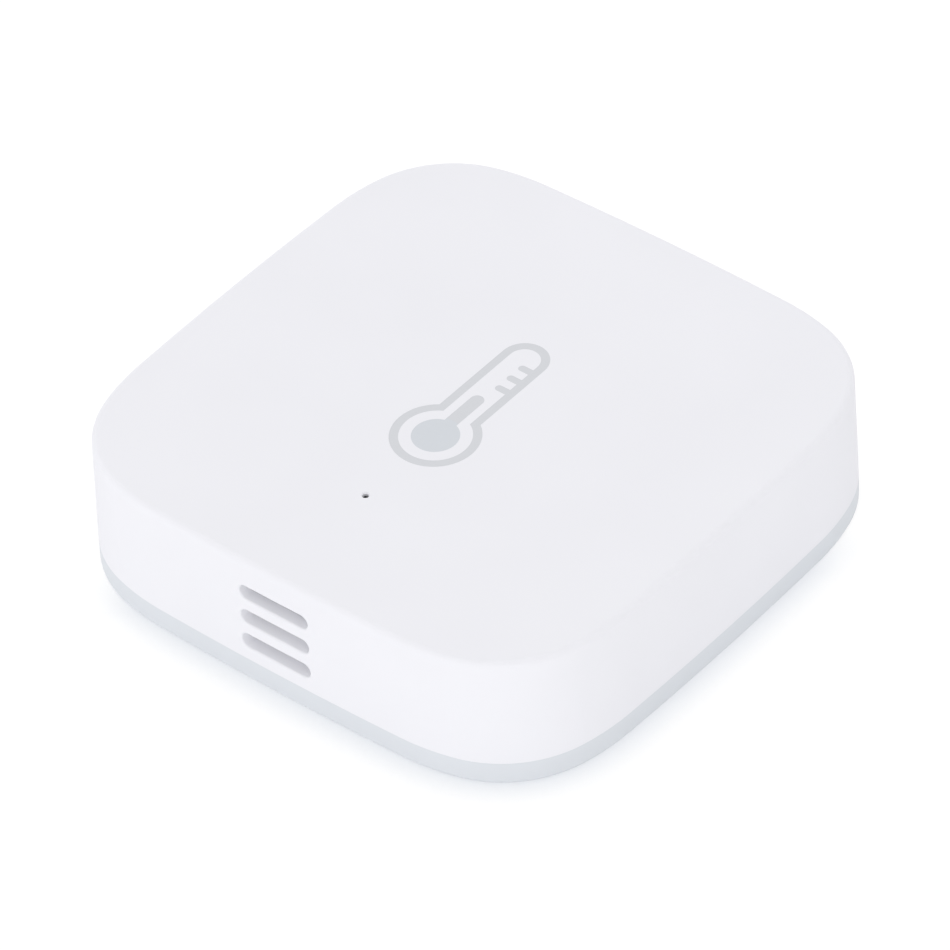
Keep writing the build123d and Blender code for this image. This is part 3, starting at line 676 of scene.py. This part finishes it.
def solder_mask(name):
    """Lacquered laminate: traces under green lacquer, plated holes and a fibrous cut edge."""
    made, tree = material(name)
    trace = trace_pattern(tree)
    hole = tree.cells(HOLE_PITCH).outputs["Distance"]
    lacquer = tree.blend(trace, MASK_GREEN, TRACE_GREEN)
    plated = tree.blend(tree.below(hole, PAD_SHARE), lacquer, PAD_GOLD)
    top = tree.blend(tree.below(hole, DRILL_SHARE), plated, shaded(MASK_GREEN, DRILL_DARK))
    fibres = tree.noise(GLASS_FIBRES, FINE, LAYERS_ACROSS_Z)
    level = tree.above(tree.facing_up(), LEVEL_SHARE)
    weave = tree.math("MULTIPLY", tree.noise(WEAVE_SIZE), WEAVE_SHARE)
    tree.principled(
        Base_Color=tree.blend(level, tree.mottled(fibres, LAMINATE, GLASS_DARK), top),
        Roughness=tree.scaled(level, CUT_EDGE_ROUGH, LACQUER_ROUGH),
        Normal=tree.bump(tree.math("ADD", trace, weave), LACQUER_RELIEF),
    )
    return made


def chip_body(tree, colour, mark):
    """Moulded epoxy with speckles of filler."""
    filler = tree.noise(FILLER_SIZE, ROUGH)
    return tree.ramp(filler, (FILLER_START, colour), (FILLER_END, mark))


def epoxy(name, colour=CHIP_BLACK, terminals=None, node=None):
    """Moulded epoxy. Terminals is a function that gives 1 on the node's bare metal."""
    made, tree = material(name)
    body = chip_body(tree, colour, CHIP_MARK)
    grain = tree.bump(tree.noise(EPOXY_GRAIN, FINE), EPOXY_RELIEF)
    rough = tree.scaled(tree.noise(EPOXY_CLOUDS), *EPOXY_ROUGH)
    if terminals is None:
        tree.principled(Base_Color=body, Roughness=rough, Normal=grain)
        return made
    bare = terminals(tree, node)
    tree.principled(
        Base_Color=tree.blend(bare, body, TIN),
        Metallic=bare,
        Roughness=tree.math("SUBTRACT", rough, tree.math("MULTIPLY", bare, TIN_SMOOTHER)),
        Normal=grain,
    )
    return made


def memory_legs(tree, node):
    """Terminals that stand out past the chip's body along X."""
    return tree.above(tree.apart("X", middle(node).x), MEMORY_BODY_HALF)


def controller_pads(tree, node):
    """Terminals in a row round the foot of the chip."""
    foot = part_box(node)[0].z
    height = tree.math("SUBTRACT", tree.along("Z"), foot)
    low = tree.below(height, CONTROLLER_PAD_HEIGHT)
    one_way = tree.math("MINIMUM", tree.stripes("X", CONTROLLER_PAD_PITCH, PAD_HALF), low)
    other_way = tree.math("MINIMUM", tree.stripes("Y", CONTROLLER_PAD_PITCH, PAD_HALF), low)
    side = tree.below(tree.facing_up(), LEVEL_SHARE)
    return tree.both(side, tree.both(one_way, other_way))


def membrane_chip(name, node):
    """The humidity sensor: black epoxy, and a pale porous membrane in its window."""
    made, tree = material(name)
    body = chip_body(tree, CHIP_BLACK, CHIP_MARK)
    inside = tree.below(tree.round_the_axis(middle(node)), SENSOR_WINDOW)
    window = tree.both(inside, tree.above(tree.facing_up(), LEVEL_SHARE))
    fibres = tree.noise(MEMBRANE_FIBRES, FIBROUS)
    tree.principled(
        Base_Color=tree.blend(window, body, tree.mottled(fibres, MEMBRANE, MEMBRANE_DARK)),
        Roughness=tree.scaled(window, SENSOR_ROUGH, MEMBRANE_ROUGH),
        Normal=tree.bump(fibres, MEMBRANE_RELIEF),
    )
    return made


def banded_epoxy(name, node):
    """The storage capacitor: ochre epoxy, a dark band at one end and tinned feet."""
    made, tree = material(name)
    low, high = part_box(node)
    centre = middle(node)
    end_at = (high.y - low.y) / 2 - STORAGE_END_SKIN
    body = chip_body(tree, OCHRE, shaded(OCHRE, STORAGE_SPECKLES))
    band = tree.above(tree.along("Y"), high.y - STORAGE_BAND)
    foot = tree.below(tree.along("Z"), low.z + STORAGE_FOOT_HEIGHT)
    end = tree.above(tree.apart("Y", centre.y), end_at)
    narrow = tree.below(tree.apart("X", centre.x), STORAGE_FOOT_HALF)
    bare = tree.both(tree.both(foot, end), narrow)
    tree.principled(
        Base_Color=tree.blend(bare, tree.blend(band, body, OCHRE_BAND), TIN),
        Metallic=bare,
        Roughness=tree.scaled(tree.noise(STORAGE_CLOUDS, FINE), *STORAGE_ROUGH),
        Normal=tree.bump(tree.noise(STORAGE_GRAIN, FINE), STORAGE_RELIEF),
    )
    return made


def fired(name, colour):
    """Fired ceramic of the chip capacitors."""
    made, tree = material(name)
    specks = tree.noise(CERAMIC_SPECKS, ROUGH)
    tree.principled(
        Base_Color=tree.mottled(specks, colour, CERAMIC_DARK),
        Roughness=tree.scaled(specks, *CERAMIC_ROUGH),
        Normal=tree.bump(specks, CERAMIC_RELIEF),
    )
    return made


def sheet_metal(name, colour, roughness, stretch, grain=SHEET_GRAIN):
    """Rolled or brushed metal, its grain drawn out along one axis."""
    made, tree = material(name)
    brushed = tree.noise(grain, FINE, stretch)
    tree.principled(
        Base_Color=tree.mottled(tree.noise(SHEET_CLOUDS, FINE), colour, SHEET_DARK),
        Metallic=1.0,
        Roughness=tree.scaled(brushed, roughness - SHEET_SMOOTHER, roughness + SHEET_ROUGHER),
        Normal=tree.bump(brushed, SHEET_RELIEF),
    )
    return made


def drawn_metal(name, roughness, node):
    """Drawn cell steel, finely turned in rings about its own middle."""
    made, tree = material(name)
    turned = tree.rings(RING_PITCH, middle(node))
    tree.principled(
        Base_Color=tree.mottled(tree.noise(STEEL_CLOUDS, FINE), STEEL, STEEL_DARK),
        Metallic=1.0,
        Roughness=tree.scaled(turned, roughness - RING_SPREAD, roughness + RING_SPREAD),
        Normal=tree.bump(turned, RING_RELIEF),
    )
    return made


def above_foot(tree, node):
    """1 above the pale foot of a package."""
    return tree.above(tree.along("Z"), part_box(node)[0].z + PALE_FOOT)


def crystal_can(name, node):
    """The crystal: a satin metal lid on a pale ceramic foot."""
    made, tree = material(name)
    lid = above_foot(tree, node)
    satin = tree.noise(LID_GRAIN, FINE, SATIN_ALONG_X)
    tree.principled(
        Base_Color=tree.blend(lid, CERAMIC_WHITE, TIN),
        Metallic=lid,
        Roughness=tree.scaled(satin, *LID_ROUGH),
        Normal=tree.bump(satin, LID_RELIEF),
    )
    return made


def lamp_resin(name, node):
    """The indicator lamp: a white foot under a clear yellowish lens."""
    made, tree = material(name)
    milk = tree.noise(MILK_CLOUDS, FINE)
    lens = tree.mottled(milk, LAMP_LENS, LENS_DARK)
    tree.principled(
        Base_Color=tree.blend(above_foot(tree, node), LAMP_WHITE, lens),
        Roughness=tree.scaled(milk, *LENS_ROUGH),
        Subsurface_Weight=LAMP_CARRIED,
        Subsurface_Scale=LAMP_REACH,
        Normal=tree.bump(milk, LENS_RELIEF),
    )
    return made


def smoked_acrylic(name):
    """Smoked acrylic with a faintly rippled skin."""
    made, tree = material(name)
    ripple = tree.noise(RIPPLE_SIZE)
    tree.principled(
        Base_Color=tree.mottled(ripple, SMOKED, RIPPLE_DARK),
        Roughness=tree.scaled(ripple, *ACRYLIC_ROUGH),
        Transmission_Weight=1.0,
        IOR=ACRYLIC_INDEX,
        Normal=tree.bump(ripple, RIPPLE_RELIEF),
    )
    return made


def powder(name):
    """Pressed powder of the cell's cathode."""
    made, tree = material(name)
    grains = tree.cells(POWDER_GRAINS).outputs["Distance"]
    lumps = tree.noise(POWDER_LUMPS, ROUGH)
    paler = shaded(POWDER_BLACK, POWDER_PALER)
    tree.principled(
        Base_Color=tree.ramp(lumps, (POWDER_START, POWDER_BLACK), (POWDER_END, paler)),
        Roughness=tree.scaled(lumps, *POWDER_ROUGH),
        Normal=tree.bump(grains, POWDER_RELIEF),
    )
    return made


def felt(name):
    """Felted separator paper: fibres that cross."""
    made, tree = material(name)
    one_way = tree.noise(FELT_FIBRES, ROUGH, FIBRES_ALONG_X)
    other_way = tree.noise(FELT_FIBRES, ROUGH, FIBRES_ALONG_Y)
    fibres = tree.math("MAXIMUM", one_way, other_way)
    between = shaded(PAPER_WHITE, FELT_DARK)
    tree.principled(
        Base_Color=tree.ramp(fibres, (FELT_START, between), (FELT_END, PAPER_WHITE)),
        Roughness=tree.scaled(fibres, *FELT_ROUGH),
        Normal=tree.bump(fibres, FELT_RELIEF),
    )
    return made


def soft_metal(name):
    """Lithium: rolled soft metal with dull patches."""
    made, tree = material(name)
    patches = tree.noise(LITHIUM_PATCHES, FIBROUS)
    rolled = tree.noise(LITHIUM_GRAIN, FINE, ROLLED_ALONG_X)
    tree.principled(
        Base_Color=tree.ramp(patches, (LITHIUM_START, LITHIUM_DULL), (LITHIUM_END, LITHIUM_GREY)),
        Metallic=1.0,
        Roughness=tree.scaled(patches, *LITHIUM_ROUGH),
        Normal=tree.bump(rolled, LITHIUM_RELIEF),
    )
    return made


def dress(made, *nodes):
    """Give CAD nodes a material."""
    for name in nodes:
        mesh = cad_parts[name].data
        mesh.materials.clear()
        mesh.materials.append(made)


def chip_boxes(node):
    """The boxes of the separate chips in a node: corners that lie near belong together."""
    groups = []
    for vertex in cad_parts[node].data.vertices:
        near = next((g for g in groups if (g[0].xy - vertex.co.xy).length < CHIP_REACH), None)
        if near is None:
            groups.append([vertex.co.copy()])
        else:
            near.append(vertex.co.copy())
    lows = [Vector(map(min, zip(*group))) for group in groups]
    highs = [Vector(map(max, zip(*group))) for group in groups]
    return list(zip(lows, highs))


def make_terminals(name, node, metal):
    """Tinned caps over both ends of every chip in a node."""
    bm = bmesh.new()
    for low, high in chip_boxes(node):
        size = high - low + Vector((0, 2 * CAP_SKIN, CAP_SKIN))
        shape = Matrix.Diagonal((CAP_LENGTH + CAP_SKIN, size.y, size.z, 1.0))
        y = (low.y + high.y) / 2
        z = (low.z + high.z + CAP_SKIN) / 2
        for side, end in ((1, low.x), (-1, high.x)):
            centre = Vector((end + side * (CAP_LENGTH - CAP_SKIN) / 2, y, z))
            bmesh.ops.create_cube(bm, size=1.0, matrix=Matrix.Translation(centre) @ shape)
    bmesh.ops.bevel(
        bm,
        geom=bm.edges[:],
        offset=CAP_ROUNDING,
        segments=CAP_ROUNDING_STEPS,
        profile=CAP_ROUNDING_PROFILE,
        affect="EDGES",
    )
    mesh = bpy.data.meshes.new(name)
    bm.to_mesh(mesh)
    bm.free()
    mesh.materials.append(metal)
    piece = link_object(name, mesh)
    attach(piece, "housing")


def make_spring_dome(metal):
    """The switch's dome: a copy of the CAD dome that rides with the housing, in place of the hidden CAD
    one.
    """
    piece = link_object("spring_dome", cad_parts["switch_dome"].data.copy())
    piece.data.materials.clear()
    piece.data.materials.append(metal)
    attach(piece, "housing")
    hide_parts("switch_dome")
    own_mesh(piece)


make_camera()
make_world()
make_key()
make_floor()

shell = moulding("shell_plastic", SHELL_WHITE, roughness=0.55, grain=0.09 * MM, depth=0.003 * MM)
grey = moulding("base_plastic", BASE_GREY, roughness=0.45, grain=0.09 * MM, depth=0.003 * MM)
cover = moulding("cover_plastic", COVER_GREY, roughness=0.5, grain=0.14 * MM, depth=0.005 * MM)
milky = moulding(
    "frame_plastic", FRAME_WHITE, roughness=0.5, grain=0.2 * MM, depth=0.006 * MM, carried=0.2
)
dark_key = moulding("key_plastic", KEY_GREY, roughness=0.45, grain=0.1 * MM, depth=0.004 * MM)
gasket = moulding("gasket_plastic", GASKET_GREY, roughness=0.4, grain=0.1 * MM, depth=0.003 * MM)
tinned = sheet_metal("tinned_metal", TIN, roughness=0.34, stretch=DIPPED_ALONG_Z)
bright_sheet = sheet_metal("spring_sheet", SPRING_STEEL, roughness=0.30, stretch=ROLLED_ALONG_X)
nickel = sheet_metal("nickel_sheet", NICKEL, roughness=0.30, stretch=ROLLED_ALONG_Y)

dress(shell, "top_shell", "reset_button")
dress(printed_ink("ink", INK_GREY, INK_BLUE), "thermometer_print")
dress(grey, "base")
dress(cover, "battery_cover")
dress(milky, "inner_frame")
dress(dark_key, "switch_plunger")
dress(gasket, "cell_gasket")
dress(solder_mask("board_lacquer"), "circuit_board")
dress(membrane_chip("sensor_epoxy", "humidity_sensor"), "humidity_sensor")
dress(epoxy("switch_epoxy"), "switch_body")
dress(epoxy("controller_epoxy", terminals=controller_pads, node="radio_controller"), "radio_controller")
dress(epoxy("memory_epoxy", terminals=memory_legs, node="memory_chip"), "memory_chip")
dress(epoxy("resistor_epoxy", RESISTOR_BLACK), "resistors")
dress(fired("capacitor_ceramic", CERAMIC_TAN), "capacitors")
dress(banded_epoxy("storage_epoxy", "storage_capacitor"), "storage_capacitor")
dress(crystal_can("crystal_can", "crystal"), "crystal")
dress(lamp_resin("lamp_resin", "indicator_led"), "indicator_led")
dress(smoked_acrylic("smoked_acrylic"), "light_guide")
dress(bright_sheet, "switch_frame", "switch_dome")
make_spring_dome(bright_sheet)
dress(nickel, "negative_contact", "positive_contact")
dress(sheet_metal("copper_trace", COPPER, roughness=0.32, stretch=EVEN, grain=0.15 * MM), "antenna")
dress(drawn_metal("can_steel", roughness=0.28, node="cell_can"), "cell_can")
dress(drawn_metal("cap_steel", roughness=0.26, node="cell_cap"), "cell_cap")
dress(powder("cathode_powder"), "cell_cathode")
dress(felt("separator_felt"), "cell_separator")
dress(soft_metal("lithium_metal"), "cell_anode")
make_terminals("capacitor_terminals", "capacitors", tinned)
make_terminals("resistor_terminals", "resistors", tinned)

bpy.context.scene.view_settings.view_transform = "Standard"
